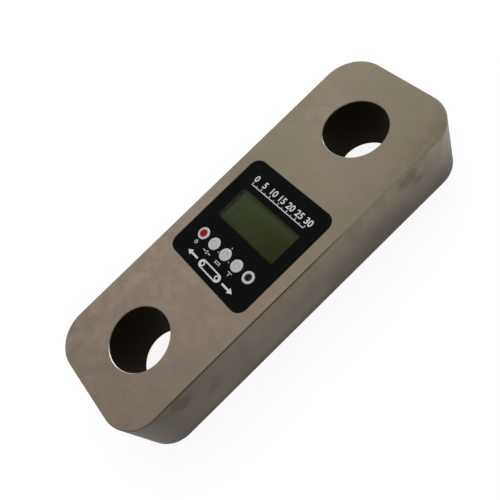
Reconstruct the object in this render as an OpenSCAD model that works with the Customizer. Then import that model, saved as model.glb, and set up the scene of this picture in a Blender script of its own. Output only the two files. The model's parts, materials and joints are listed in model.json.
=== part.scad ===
// Digital tension dynamometer: a steel link with two shackle eyes and a built-in display.
// X runs across the link, Y along it towards the top of the display, Z out of the front face.
// The origin is on the back face, midway between the two eyes.

/* [Steel link] */
// Overall length of the link
body_l = 391; // [380:1:430]
// Overall width of the link
body_w = 134; // [129:0.5:150]
// Thickness of the link
body_t = 67; // [65:0.5:80]
// Radius of the four upright corners
corner_r = 33.5; // [20:0.5:45]
// Chamfer along the edges of both faces
edge_chamfer = 1; // [0.4:0.1:2]
// Bore of the two shackle eyes
eye_d = 60; // [52:0.5:66]
// Distance from each end of the link to the centre of its eye
eye_inset = 63; // [57:1:70]
// Chamfer at both mouths of each eye
eye_chamfer = 0.6; // [0.4:0.1:2.5]

/* [Front panel] */
// Width of the display panel
panel_w = 106.6; // [104:0.2:111]
// Length of the display panel
panel_l = 114.8; // [112:0.2:124]
// Corner radius of the display panel
panel_r = 10; // [8:0.5:13]
// Thickness of the panel plate
panel_t = 2.5; // [2.2:0.1:3.2]
// Thickness of the printed overlay film
overlay_t = 0.3; // [0.2:0.05:0.5]
// How far the overlay lies below the front face
panel_sink = 0.4; // [0.2:0.1:1]
// Gap between a panel or cover and its recess
panel_gap = 0.3; // [0.2:0.05:0.5]
// Width of the ledge that carries a panel or cover
ledge_w = 8.5; // [8:0.1:9]
// Thickness of the rubber gaskets
gasket_t = 0.8; // [0.5:0.1:1.5]

/* [Display] */
// Width of the clear window
window_w = 79; // [70:0.5:80]
// Length of the clear window
window_l = 34.5; // [30:0.5:38]
// Place of the window's centre above the link's centre
window_y = 10.4; // [8:0.2:14]
// Depth of the display glass below the overlay
lcd_depth = 5.8; // [5.3:0.1:6.6]
// Thickness of the display glass
lcd_glass_t = 2.2; // [1.6:0.1:2.8]
// Thickness of the backlight
backlight_t = 4.1; // [3.5:0.1:4.8]

/* [Keys] */
// Diameter of a key cap
key_d = 11.9; // [10:0.1:13]
// Distance between neighbouring keys
key_pitch = 16.6; // [16:0.1:17.6]
// Place of the key row along the link
key_row_y = -28.2; // [-29:0.2:-25.4]
// How far a key cap stands above the overlay
key_proud = 1.2; // [1:0.1:2]
// Travel of a key
key_travel = 0.8; // [0.4:0.1:0.9]
// Clearance round a key cap
key_gap = 0.2; // [0.1:0.05:0.4]
// Diameter of the red insert in the power key
dot_d = 7.6; // [5:0.1:8]

/* [Charging socket] */
// Outer diameter of the ring nut
ring_d = 11.8; // [11:0.1:13.5]
// Diameter of the socket's threaded barrel
barrel_d = 7.2; // [6.6:0.1:8]
// Bore of the socket
socket_d = 5.5; // [5:0.1:6]
// Depth of the socket
socket_depth = 9.5; // [8:0.1:10]
// Diameter of the socket's centre pin
socket_pin_d = 2.1; // [1.6:0.1:2.5]

/* [Circuit board] */
// Thickness of the circuit board
board_t = 1.6; // [1:0.1:2.4]
// Gap between the circuit board and the pocket wall
board_gap = 2; // [1.5:0.1:3]
// Width across the flats of a board standoff
standoff_w = 5.5; // [5:0.1:6.5]
// Height of the standoffs, which is the room under the circuit board
board_room = 8.5; // [8:0.1:11]

/* [Strain gauges] */
// Diameter of each gauge well
well_d = 32; // [26:1:36]
// Thickness of the web left between the front and back wells
web_t = 5; // [4:0.5:9]
// Thickness of the disc that seals a well
seal_t = 1.2; // [1:0.1:1.9]
// Length of a strain gauge
gauge_l = 9; // [7:0.5:10]
// Width of a strain gauge
gauge_w = 5; // [4:0.5:6]

/* [Battery] */
// Diameter of a battery cell
cell_d = 18.4; // [17:0.1:20]
// Length of a battery cell with its button
cell_l = 65; // [60:0.5:68]
// Thickness of the holder's floor
holder_t = 2; // [1.9:0.1:2.6]
// Thickness of the foam pad under the cells
pad_t = 0.8; // [0.5:0.1:1.5]

/* [Back cover] */
// Thickness of the back cover
cover_t = 3; // [2.6:0.1:4]
// How far the cover lies below the back face
cover_sink = 0.3; // [0.1:0.1:1]

/* [Hidden] */

// Fineness of round shapes, of hexagons, of wires and of coils
round_fn = 96;
hex_fn = 6;
wire_sides = 8;
coil_sides = 6;
coil_steps = 14;
full_turn = 360;
quarter_turn = 90;

// Overrun of every cut, and the clearances of a screw in its thread, of a seated piece
// and of a screw or pin in a plain hole
cut = 1;
fit_gap = 0.05;
seat_gap = 0.1;
drill_gap = 0.2;

// Places of the eyes
eye_spacing = body_l - 2 * eye_inset;

// Recesses and pockets
recess_w = panel_w + 2 * panel_gap;
recess_l = panel_l + 2 * panel_gap;
recess_r = panel_r + panel_gap;
recess_break = 0.3;
pocket_w = recess_w - 2 * ledge_w;
pocket_l = recess_l - 2 * ledge_w;
pocket_r = 8;

// Levels of the front panel, from the front face down
overlay_top = body_t - panel_sink;
plate_top = overlay_top - overlay_t;
plate_bottom = plate_top - panel_t;
front_ledge = plate_bottom - gasket_t;

// Levels of the display and the circuit board
glass_top = overlay_top - lcd_depth;
glass_bottom = glass_top - lcd_glass_t;
board_top = glass_bottom - backlight_t;
board_bottom = board_top - board_t;

// Levels of the back cover and the battery, from the back face up
cover_top = cover_sink + cover_t;
back_ledge = cover_top + gasket_t;
pad_top = cover_top + pad_t;
cell_z = pad_top + seat_gap + cell_d / 2;
holder_floor = cell_z + cell_d / 2 + seat_gap;

// Floor between the two pockets, and the wells that leave the web in its middle
floor_bottom = holder_floor + holder_t;
floor_top = board_bottom - board_room;
floor_t = floor_top - floor_bottom;
well_depth = (floor_t - web_t) / 2;

// Countersunk screws with a hexagon socket, on both ledges and in the battery holder
screw_r = 1.5;
head_r = 2.9;
head_t = 1.6;
key_socket_r = 1.15;
key_socket_depth = 0.9;
ledge_screw_l = 10;
holder_screw_l = 7;
tap_spare = 2;

// Window lens and display module
lens_gap = 0.15;
lens_edge = 0.4;
lens_flange = 2;
lens_flange_t = 1;
bezel_reveal = 0.5;
bezel_wall = 1;
bezel_lip_t = 0.8;
foam_w = 1.8;
glass_margin = 2;
zebra_w = 2;
zebra_gap = 0.3;
zebra_inset = 4;
aperture_w = window_w + 2 * bezel_reveal;
aperture_l = window_l + 2 * bezel_reveal;
backlight_l = window_l + 2 * glass_margin;
glass_w = window_w + 2 * glass_margin;
glass_l = backlight_l + 2 * (zebra_gap + zebra_w);
bezel_top = glass_top + bezel_lip_t;

// Keys: caps with a flange under the panel, plungers in switch housings, and springs
key_x = [-2 * key_pitch, -key_pitch, 0, key_pitch];
cap_edge = 0.4;
cap_flange_reach = 0.9;
cap_flange_t = 1.2;
cap_stop_gap = 0.1;
stem_r = 2.5;
dot_depth = 0.7;
dot_proud = 0.15;
switch_w = 12;
switch_h = 3.5;
switch_lip_t = 0.8;
overtravel = 0.4;
plunger_r = 1.75;
plunger_out = 2.4;
collar_r = 2.7;
collar_t = 0.9;
spring_r = 4.1;
spring_wire_r = 0.25;
spring_turns = 3.5;
cap_top = overlay_top + key_proud;
flange_top = plate_bottom - cap_stop_gap;
flange_bottom = flange_top - cap_flange_t;
switch_top = board_top + switch_h;
plunger_top = switch_top + plunger_out;
collar_top = switch_top - switch_lip_t - seat_gap;
plunger_tip = collar_top - collar_t;

// Charging socket
socket_x = 2 * key_pitch;
ring_t = 1.2;
ring_edge = 0.3;
barrel_sink = 0.3;
barrel_gap = 0.15;
socket_rear_r = 5.8;
socket_base_t = 1.6;
pin_sink = 2;
terminal_r = 0.5;
terminal_reach = 1;
terminal_circle_r = 3.2;
terminal_turns = [0, 120, 240];
barrel_top = overlay_top + ring_t - barrel_sink;
socket_floor = barrel_top - socket_depth;
socket_bottom = socket_floor - socket_base_t;

// Circuit board, its standoffs and its pan-head screws
board_w = pocket_w - 2 * board_gap;
board_l = pocket_l - 2 * board_gap;
board_r = 5;
standoff_inset = 5;
standoff_stud_r = 1.5;
standoff_stud_l = 5;
board_screw_r = 1.25;
pan_r = 2.3;
pan_t = 1.6;
pan_socket_r = 1.1;
pan_socket_depth = 0.8;
board_screw_hole = 6;

// Pieces on the circuit board; their shares are of its width and length
processor_share = [0.14, 0.13];
processor_w = 14;
amplifier_share = [-0.19, 0.15];
amplifier_w = 8;
amplifier_l = 5;
chip_t = 1.5;
capacitor_shares = [[0.33, 0.15], [0.33, 0.06], [0.33, -0.03]];
capacitor_r = 3;
capacitor_h = 7;
radio_share = -0.16;
radio_inset = 1.5;
radio_w = 24;
radio_l = 8;
radio_t = 1;
shield_share = -0.12;
shield_w = 14;
shield_l = 6;
shield_t = 2;
antenna_gap = 3;
antenna_wire_r = 0.35;
antenna_r = 2.4;
antenna_l = 20;
antenna_turns = 8;
header_w = 10;
header_l = 6;
header_h = 5;
gauge_header_share = [-0.17, -0.08];
radio_x = board_w * radio_share;
radio_y = board_l / 2 - radio_inset - radio_l / 2;

// Gauge wells, their seals and the hole that links them; shares are of a well's radius
seal_step = 2;
seal_hole_r = 2;
seal_hole_share = -0.4;
link_hole_r = 2;
link_hole_share = 0.75;
gauge_t = 0.2;
gauge_gap = 3;
well_r = well_d / 2;
seal_r = well_r + seal_step;
cable_r = 1.4;

// Battery cells, their holder and its contacts
cell_gap = 2.2;
cell_edge = 0.4;
button_r = 2.8;
button_h = 1;
battery_spring_l = 5;
battery_spring_r = 3;
battery_spring_wire_r = 0.4;
battery_spring_turns = 3;
contact_t = 0.4;
contact_w = 12;
contact_h = 13;
holder_wall = 1.6;
holder_end_h = 14;
holder_side_share = 0.45;
holder_screw_share = 0.35;
tab_w = 3.8;
tab_reach = 2.2;
tab_drop = 7;
pad_inset = 2;
pad_end_inset = 4;
cell_pitch = cell_d + cell_gap;
bay_l = cell_l + battery_spring_l;
holder_w = 2 * (cell_pitch + holder_wall);
holder_l = bay_l + 2 * (contact_t + seat_gap + holder_wall);
tab_z = holder_floor - tab_drop;

// Bore for the battery wires, its grommet, the wires and their header
bore_r = 5;
bore_inset = [13, 16];
grommet_hole_r = 2.6;
grommet_lip = 1.4;
grommet_lip_t = 1.2;
wire_r = 0.8;
wire_pitch = 2.2;
wire_lane = 1.8;
wire_lead = 0.3;
wire_bend = 2;
header_run = 13;
bore_x = bore_inset[0] - pocket_w / 2;
bore_y = bore_inset[1] - pocket_l / 2;

// Colours of the materials
steel = [0.52, 0.48, 0.42];
black_plastic = [0.06, 0.065, 0.07];
silver = [0.72, 0.73, 0.74];
bright_metal = [0.75, 0.75, 0.76];
brass = [0.78, 0.64, 0.35];
rubber = [0.09, 0.09, 0.09];
board_green = [0.05, 0.27, 0.14];
chip_black = [0.08, 0.08, 0.09];
nylon = [0.9, 0.88, 0.8];

// Places of the screws on a ledge: four corners, two sides and two ends
function ledge_screws() =
    let (corner = (recess_r - ledge_w / 2) / sqrt(2))
    concat(
        [for (x = [-1, 1], y = [-1, 1])
            [x * (recess_w / 2 - recess_r + corner), y * (recess_l / 2 - recess_r + corner)]],
        [for (x = [-1, 1]) [x * (recess_w - ledge_w) / 2, 0]],
        [for (y = [-1, 1]) [0, y * (recess_l - ledge_w) / 2]]
    );

// Places of the circuit board's standoffs
function standoffs() =
    [for (x = [-1, 1], y = [-1, 1])
        [x * (board_w / 2 - standoff_inset), y * (board_l / 2 - standoff_inset)]];

// Place on the circuit board at a share of its width and length
function on_board(share) = [board_w * share[0], board_l * share[1]];

// Vector of length 1, the direction of a path at its point i, and a vector squared to d
function unit(v) = v / norm(v);
function heading(path, i) = unit(path[min(i + 1, len(path) - 1)] - path[max(i - 1, 0)]);
function squared(v, d) = unit(v - (v * d) * d);

// Path whose corners are rounded, each from this far before the corner to as far past it
bend_shares = [0, 0.25, 0.5, 0.75, 1];
function rounded_path(path, reach) = [
    path[0],
    for (i = [1 : len(path) - 2])
        let (
            a = path[i] + reach * unit(path[i - 1] - path[i]),
            b = path[i] + reach * unit(path[i + 1] - path[i])
        )
        for (t = bend_shares) (1 - t) * (1 - t) * a + 2 * t * (1 - t) * path[i] + t * t * b,
    path[len(path) - 1]
];

// Ring of points round p, in the plane of the directions u and v
function ring(p, u, v, r, sides) =
    [for (k = [0 : sides - 1])
        let (a = full_turn * k / sides) p + r * (cos(a) * u + sin(a) * v)];

// Solid through a list of equal rings, closed at both ends
module skin(rings) {
    sides = len(rings[0]);
    count = len(rings);
    walls = [for (i = [0 : count - 2], k = [0 : sides - 1])
        [i * sides + k, i * sides + (k + 1) % sides,
            (i + 1) * sides + (k + 1) % sides, (i + 1) * sides + k]];
    first = [for (k = [sides - 1 : -1 : 0]) k];
    last = [for (k = [0 : sides - 1]) (count - 1) * sides + k];
    polyhedron(points = [for (one = rings, p = one) p], faces = concat([first], walls, [last]));
}

// Wire of radius r along a path; side is a direction that the path doesn't start in
module wire(path, r, side) {
    skin([
        for (
            i = 0, u = squared(side, heading(path, 0));
            i < len(path);
            u = squared(u, heading(path, min(i + 1, len(path) - 1))), i = i + 1
        )
            let (d = heading(path, i), w = squared(u, d))
            ring(path[i], cross(w, d), w, r, wire_sides)
    ]);
}

// Coil spring up the z axis, h long over the outside of its wire
module coil(r, wire, h, turns) {
    steps = ceil(turns * coil_steps);
    rise = h - 2 * wire;
    skin([for (i = [0 : steps])
        let (a = full_turn * turns * i / steps, out = [cos(a), sin(a), 0])
        ring(r * out + [0, 0, wire + rise * i / steps], out, [0, 0, -1], wire, coil_sides)]);
}

// Slab with round upright corners, standing on z = 0
module rounded_slab(w, l, t, r) {
    translate([-w / 2, r - l / 2, 0]) cube([w, l - 2 * r, t]);
    translate([r - w / 2, -l / 2, 0]) cube([w - 2 * r, l, t]);
    for (x = [-1, 1], y = [-1, 1])
        translate([x * (w / 2 - r), y * (l / 2 - r), 0]) cylinder(r = r, h = t, $fn = round_fn);
}

// Slab with shaped edges: corner is turned at the four corners, and across and along,
// the whole outlines over its width and its length, run between them
module edged_slab(w, l, r, corner, across, along) {
    for (x = [-1, 1], y = [-1, 1])
        translate([x * (w / 2 - r), y * (l / 2 - r), 0])
            rotate_extrude($fn = round_fn) polygon(corner);
    translate([0, l / 2 - r, 0]) rotate([quarter_turn, 0, 0])
        linear_extrude(l - 2 * r) polygon(across);
    translate([r - w / 2, 0, 0]) rotate([quarter_turn, 0, quarter_turn])
        linear_extrude(w - 2 * r) polygon(along);
}

// Outlines of a bar t thick with chamfers of c: from its axis to x, and from -x to x
function chamfered_half(x, t, c) = [[0, 0], [x - c, 0], [x, c], [x, t - c], [x - c, t], [0, t]];
function chamfered_whole(x, t, c) = [
    [-x + c, 0], [x - c, 0], [x, c], [x, t - c], [x - c, t], [-x + c, t], [-x, t - c], [-x, c]
];

// Outlines that widen by c over the height c, then stand upright for the overrun
function flared_half(x, c) = [[0, -c], [x, -c], [x + c, 0], [x + c, cut], [0, cut]];
function flared_whole(x, c) = [[-x, -c], [x, -c], [x + c, 0], [x + c, cut], [-x - c, cut], [-x - c, 0]];

// Round hole up from z = 0 through a thickness of h
module round_hole(r, h) {
    translate([0, 0, -cut]) cylinder(r = r, h = h + 2 * cut, $fn = round_fn);
}

// Countersunk screw of length l with the top of its head at z = 0
module countersunk_screw(l) {
    difference() {
        union() {
            translate([0, 0, -head_t])
                cylinder(r1 = screw_r, r2 = head_r, h = head_t, $fn = round_fn);
            translate([0, 0, -l]) cylinder(r = screw_r, h = l - head_t, $fn = round_fn);
        }
        translate([0, 0, -key_socket_depth])
            cylinder(r = key_socket_r, h = key_socket_depth + cut, $fn = hex_fn);
    }
}

// Hole for a countersunk screw down through a plate of thickness t, its mouth at z = 0
module countersunk_hole(t) {
    translate([0, 0, -head_t])
        cylinder(r1 = screw_r + seat_gap, r2 = head_r + seat_gap, h = head_t, $fn = round_fn);
    cylinder(r = head_r + seat_gap, h = cut, $fn = round_fn);
    translate([0, 0, -t - cut]) cylinder(r = screw_r + seat_gap, h = t + cut, $fn = round_fn);
}

// Tapped hole, depth deep below z = 0
module tapped_hole(depth) {
    translate([0, 0, -depth]) cylinder(r = screw_r + fit_gap, h = depth + cut, $fn = round_fn);
}

// Block centred on x and y that hangs from z = 0
module hanging_block(w, l, t) {
    translate([-w / 2, -l / 2, -t]) cube([w, l, t]);
}

// Copies its children at each place of a list
module at_each(places) {
    for (p = places) translate(p) children();
}

// Steel link: the recesses, pockets and wells are milled into one thick plate

// Recess, ledge and pocket of one side, its face at z = 0
module side_cavity(ledge_depth, pocket_depth, tap_depth) {
    translate([0, 0, -ledge_depth]) rounded_slab(recess_w, recess_l, ledge_depth + cut, recess_r);
    edged_slab(recess_w, recess_l, recess_r, flared_half(recess_r, recess_break),
        flared_whole(recess_w / 2, recess_break), flared_whole(recess_l / 2, recess_break));
    translate([0, 0, -pocket_depth]) rounded_slab(pocket_w, pocket_l, pocket_depth, pocket_r);
    at_each(ledge_screws()) translate([0, 0, -ledge_depth]) tapped_hole(tap_depth - ledge_depth);
}

// Stepped well for strain gauges, its mouth at z = 0
module gauge_well() {
    translate([0, 0, -well_depth]) cylinder(r = well_r, h = well_depth + cut, $fn = round_fn);
    translate([0, 0, -seal_t]) cylinder(r = seal_r, h = seal_t + cut, $fn = round_fn);
}

// Shackle eye through the link, with a chamfer at both mouths
module eye_bore() {
    round_hole(eye_d / 2, body_t);
    for (top = [0, 1]) translate([0, 0, top * body_t]) mirror([0, 0, 1 - top])
        rotate_extrude($fn = round_fn) polygon(flared_half(eye_d / 2, eye_chamfer));
}

module load_body() {
    color(steel) difference() {
        edged_slab(body_w, body_l, corner_r, chamfered_half(corner_r, body_t, edge_chamfer),
            chamfered_whole(body_w / 2, body_t, edge_chamfer),
            chamfered_whole(body_l / 2, body_t, edge_chamfer));
        for (y = [-1, 1]) translate([0, y * eye_spacing / 2, 0]) eye_bore();
        translate([0, 0, body_t]) side_cavity(body_t - front_ledge, body_t - floor_top,
            body_t - plate_top + ledge_screw_l + tap_spare);
        mirror([0, 0, 1])
            side_cavity(back_ledge, floor_bottom, cover_sink + ledge_screw_l + tap_spare);
        translate([0, 0, floor_top]) gauge_well();
        translate([0, 0, floor_bottom]) mirror([0, 0, 1]) gauge_well();
        translate([well_r * link_hole_share, 0, floor_bottom]) round_hole(link_hole_r, floor_t);
        translate([bore_x, bore_y, floor_bottom]) round_hole(bore_r, floor_t);
        at_each(standoffs()) translate([0, 0, floor_top - standoff_stud_l - tap_spare])
            cylinder(r = standoff_stud_r + fit_gap, h = standoff_stud_l + tap_spare + cut,
                $fn = round_fn);
        for (y = [-1, 1]) translate([0, y * cell_l * holder_screw_share, floor_bottom])
            mirror([0, 0, 1]) tapped_hole(holder_screw_l - holder_t + tap_spare);
    }
}

// Front panel and what fastens it

// Openings for the window, the keys and the socket through a sheet standing on z = 0
module panel_openings(t) {
    translate([-window_w / 2, window_y - window_l / 2, -cut])
        cube([window_w, window_l, t + 2 * cut]);
    for (x = key_x) translate([x, key_row_y, 0]) round_hole(key_d / 2 + key_gap, t);
    translate([socket_x, key_row_y, 0]) round_hole(barrel_d / 2 + barrel_gap, t);
}

module front_panel() {
    color(black_plastic) translate([0, 0, plate_bottom]) difference() {
        rounded_slab(panel_w, panel_l, panel_t, panel_r);
        panel_openings(panel_t);
        at_each(ledge_screws()) translate([0, 0, panel_t]) countersunk_hole(panel_t);
    }
}

module panel_overlay() {
    color(black_plastic) translate([0, 0, plate_top]) difference() {
        rounded_slab(panel_w, panel_l, overlay_t, panel_r);
        panel_openings(overlay_t);
    }
}

// Flat rubber frame that lies on a ledge, standing on z = 0
module ledge_gasket() {
    color(rubber) difference() {
        rounded_slab(panel_w, panel_l, gasket_t, panel_r);
        translate([0, 0, -cut]) rounded_slab(pocket_w, pocket_l, gasket_t + 2 * cut, pocket_r);
        at_each(ledge_screws()) round_hole(screw_r + drill_gap, gasket_t);
    }
}

module panel_gasket() {
    translate([0, 0, front_ledge]) ledge_gasket();
}

module panel_screws() {
    color(bright_metal) at_each(ledge_screws())
        translate([0, 0, plate_top]) countersunk_screw(ledge_screw_l);
}

// Display

// Block centred on the window that stands on z = 0
module window_block(w, l, t) {
    translate([-w / 2, window_y - l / 2, 0]) cube([w, l, t]);
}

module window_lens() {
    lens_w = window_w - 2 * lens_gap;
    lens_l = window_l - 2 * lens_gap;
    lens_t = overlay_top - plate_bottom;
    color([0.5, 0.55, 0.5, 0.4]) translate([0, 0, plate_bottom]) {
        window_block(lens_w, lens_l, lens_t - lens_edge);
        translate([0, window_y, 0]) intersection() {
            translate([0, lens_l / 2, 0]) rotate([quarter_turn, 0, 0])
                linear_extrude(lens_l) lens_section(lens_w / 2, lens_t);
            translate([-lens_w / 2, 0, 0]) rotate([quarter_turn, 0, quarter_turn])
                linear_extrude(lens_w) lens_section(lens_l / 2, lens_t);
        }
        translate([0, 0, -lens_flange_t]) window_block(
            window_w + 2 * lens_flange, window_l + 2 * lens_flange, lens_flange_t);
    }
}

// Section of the lens: upright sides with a chamfer at the top edges
module lens_section(x, t) {
    polygon([[-x, 0], [x, 0], [x, t - lens_edge], [x - lens_edge, t],
        [-x + lens_edge, t], [-x, t - lens_edge]]);
}

module window_gasket() {
    foam_h = plate_bottom - lens_flange_t - bezel_top;
    color(rubber) translate([0, 0, bezel_top]) difference() {
        window_block(aperture_w + 2 * foam_w, aperture_l + 2 * foam_w, foam_h);
        translate([0, 0, -cut]) window_block(aperture_w, aperture_l, foam_h + 2 * cut);
    }
}

module lcd_bezel() {
    shell_h = bezel_top - board_top;
    inner_w = glass_w + 2 * seat_gap;
    inner_l = glass_l + 2 * seat_gap;
    color([0.1, 0.1, 0.11]) translate([0, 0, board_top]) difference() {
        window_block(inner_w + 2 * bezel_wall, inner_l + 2 * bezel_wall, shell_h);
        translate([0, 0, -cut]) window_block(inner_w, inner_l, shell_h - bezel_lip_t + cut);
        translate([0, 0, -cut]) window_block(aperture_w, aperture_l, shell_h + 2 * cut);
    }
}

module lcd_glass() {
    color([0.22, 0.26, 0.15]) translate([0, 0, glass_bottom])
        window_block(glass_w, glass_l, lcd_glass_t);
}

module lcd_backlight() {
    color([0.85, 0.87, 0.82]) translate([0, 0, board_top])
        window_block(aperture_w, backlight_l, backlight_t);
}

module zebra_strips() {
    color([0.55, 0.32, 0.35]) for (y = [-1, 1])
        translate([0, y * (glass_l - zebra_w) / 2, board_top])
            window_block(glass_w - 2 * zebra_inset, zebra_w, backlight_t);
}

// Circuit board and the pieces on it

module main_board() {
    color(board_green) translate([0, 0, board_bottom]) difference() {
        rounded_slab(board_w, board_l, board_t, board_r);
        at_each(standoffs()) round_hole(board_screw_r + drill_gap, board_t);
        translate([socket_x, key_row_y, 0]) for (a = terminal_turns)
            rotate(a) translate([terminal_circle_r, 0, 0])
                round_hole(terminal_r + drill_gap, board_t);
    }
}

module board_standoffs() {
    color(brass) at_each(standoffs()) translate([0, 0, floor_top]) difference() {
        union() {
            cylinder(d = standoff_w / cos(full_turn / hex_fn / 2), h = board_room, $fn = hex_fn);
            translate([0, 0, -standoff_stud_l])
                cylinder(r = standoff_stud_r, h = standoff_stud_l, $fn = round_fn);
        }
        translate([0, 0, board_room - board_screw_hole])
            cylinder(r = board_screw_r + fit_gap, h = board_screw_hole + cut, $fn = round_fn);
    }
}

module board_screws() {
    shank_l = board_t + board_screw_hole - tap_spare;
    color(bright_metal) at_each(standoffs()) translate([0, 0, board_top]) difference() {
        union() {
            cylinder(r = pan_r, h = pan_t, $fn = round_fn);
            translate([0, 0, -shank_l]) cylinder(r = board_screw_r, h = shank_l, $fn = round_fn);
        }
        translate([0, 0, pan_t - pan_socket_depth])
            cylinder(r = pan_socket_r, h = pan_socket_depth + cut, $fn = hex_fn);
    }
}

module processor_chip() {
    color(chip_black) translate([0, 0, board_bottom]) translate(on_board(processor_share))
        hanging_block(processor_w, processor_w, chip_t);
}

module amplifier_chip() {
    color(chip_black) translate([0, 0, board_bottom]) translate(on_board(amplifier_share))
        hanging_block(amplifier_w, amplifier_l, chip_t);
}

module board_capacitors() {
    color([0.15, 0.16, 0.3]) for (share = capacitor_shares)
        translate([0, 0, board_bottom - capacitor_h]) translate(on_board(share))
            cylinder(r = capacitor_r, h = capacitor_h, $fn = round_fn);
}

module radio_module() {
    color([0.05, 0.15, 0.35]) translate([radio_x, radio_y, board_top + radio_t])
        hanging_block(radio_w, radio_l, radio_t);
}

module radio_shield() {
    color(bright_metal)
        translate([radio_x + radio_w * shield_share, radio_y, board_top + radio_t + shield_t])
            hanging_block(shield_w, shield_l, shield_t);
}

module antenna_coil() {
    color([0.72, 0.42, 0.25])
        translate([radio_x + radio_w / 2 + antenna_gap, radio_y, board_top + antenna_r + antenna_wire_r])
            rotate([0, quarter_turn, 0]) coil(antenna_r, antenna_wire_r, antenna_l, antenna_turns);
}

module gauge_header() {
    color(nylon) translate([0, 0, board_bottom]) translate(on_board(gauge_header_share))
        hanging_block(header_w, header_l, header_h);
}

module battery_header() {
    color(nylon) translate([bore_x, bore_y + header_run, board_bottom])
        hanging_block(header_w, header_l, header_h);
}

// Keys

module switch_housings() {
    chamber_floor = plunger_tip - key_travel - overtravel;
    color(chip_black) for (x = key_x) translate([x, key_row_y, 0]) difference() {
        translate([0, 0, switch_top]) hanging_block(switch_w, switch_w, switch_h);
        translate([0, 0, chamber_floor]) cylinder(r = collar_r + seat_gap,
            h = switch_top - switch_lip_t - chamber_floor, $fn = round_fn);
        translate([0, 0, chamber_floor])
            cylinder(r = plunger_r + seat_gap, h = switch_h, $fn = round_fn);
    }
}

// Round cap with a stem down to its plunger; hole_r is the radius of the hole in its top
module key_cap(x, hole_r) {
    cap_r = key_d / 2;
    color(silver) translate([x, key_row_y, 0]) difference() {
        rotate_extrude($fn = round_fn) polygon([
            [0, plunger_top], [stem_r, plunger_top], [stem_r, flange_bottom],
            [cap_r + cap_flange_reach, flange_bottom], [cap_r + cap_flange_reach, flange_top],
            [cap_r, flange_top], [cap_r, cap_top - cap_edge], [cap_r - cap_edge, cap_top],
            [0, cap_top]
        ]);
        if (hole_r > 0)
            translate([0, 0, cap_top - dot_depth])
                cylinder(r = hole_r, h = dot_depth + cut, $fn = round_fn);
    }
}

module key_plunger(x) {
    color(nylon) translate([x, key_row_y, 0]) {
        translate([0, 0, plunger_tip])
            cylinder(r = plunger_r, h = plunger_top - plunger_tip, $fn = round_fn);
        translate([0, 0, plunger_tip]) cylinder(r = collar_r, h = collar_t, $fn = round_fn);
    }
}

module key_spring(x) {
    color(bright_metal) translate([x, key_row_y, switch_top])
        coil(spring_r, spring_wire_r, flange_bottom - switch_top, spring_turns);
}

module power_key_cap() { key_cap(key_x[0], dot_d / 2 + fit_gap); }
module power_key_plunger() { key_plunger(key_x[0]); }
module power_key_spring() { key_spring(key_x[0]); }
module zero_key_cap() { key_cap(key_x[1], 0); }
module zero_key_plunger() { key_plunger(key_x[1]); }
module zero_key_spring() { key_spring(key_x[1]); }
module unit_key_cap() { key_cap(key_x[2], 0); }
module unit_key_plunger() { key_plunger(key_x[2]); }
module unit_key_spring() { key_spring(key_x[2]); }
module peak_key_cap() { key_cap(key_x[3], 0); }
module peak_key_plunger() { key_plunger(key_x[3]); }
module peak_key_spring() { key_spring(key_x[3]); }

module power_key_dot() {
    color([0.62, 0.02, 0.06]) translate([key_x[0], key_row_y, cap_top - dot_depth])
        cylinder(d = dot_d, h = dot_depth + dot_proud, $fn = round_fn);
}

// Charging socket

module socket_ring_nut() {
    ring_r = ring_d / 2;
    bore = barrel_d / 2 + fit_gap;
    color(silver) translate([socket_x, key_row_y, overlay_top])
        rotate_extrude($fn = round_fn) polygon([
            [bore, 0], [ring_r, 0], [ring_r, ring_t - ring_edge], [ring_r - ring_edge, ring_t],
            [bore, ring_t]
        ]);
}

module socket_body() {
    color([0.04, 0.04, 0.04]) translate([socket_x, key_row_y, socket_bottom]) difference() {
        union() {
            cylinder(d = barrel_d, h = barrel_top - socket_bottom, $fn = round_fn);
            cylinder(r = socket_rear_r, h = plate_bottom - socket_bottom, $fn = round_fn);
        }
        translate([0, 0, socket_base_t])
            cylinder(d = socket_d, h = socket_depth + cut, $fn = round_fn);
        round_hole(socket_pin_d / 2 + fit_gap, socket_base_t);
    }
}

module socket_pin() {
    color(bright_metal) translate([socket_x, key_row_y, socket_bottom])
        cylinder(d = socket_pin_d, h = barrel_top - pin_sink - socket_bottom, $fn = round_fn);
}

module socket_terminals() {
    terminal_l = socket_bottom - board_bottom + terminal_reach;
    color(brass) translate([socket_x, key_row_y, socket_bottom - terminal_l])
        for (a = terminal_turns) rotate(a) translate([terminal_circle_r, 0, 0])
            cylinder(r = terminal_r, h = terminal_l, $fn = round_fn);
}

// Strain gauges

// Two gauges on the floor at z = 0, one along the link and one across it
module gauge_pair() {
    color([0.75, 0.55, 0.2]) {
        translate([-gauge_w / 2, gauge_gap / 2, 0]) cube([gauge_w, gauge_l, gauge_t]);
        translate([-gauge_l / 2, -gauge_gap / 2 - gauge_w, 0]) cube([gauge_l, gauge_w, gauge_t]);
    }
}

module front_gauges() {
    translate([0, 0, floor_top - well_depth]) gauge_pair();
}

module back_gauges() {
    translate([0, 0, floor_bottom + well_depth]) mirror([0, 0, 1]) gauge_pair();
}

module front_gauge_seal() {
    color([0.6, 0.6, 0.6]) translate([0, 0, floor_top - seal_t]) difference() {
        cylinder(r = seal_r - seat_gap, h = seal_t, $fn = round_fn);
        translate([well_r * seal_hole_share, 0, 0]) round_hole(seal_hole_r, seal_t);
    }
}

module back_gauge_seal() {
    color([0.6, 0.6, 0.6]) translate([0, 0, floor_bottom])
        cylinder(r = seal_r - seat_gap, h = seal_t, $fn = round_fn);
}

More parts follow.
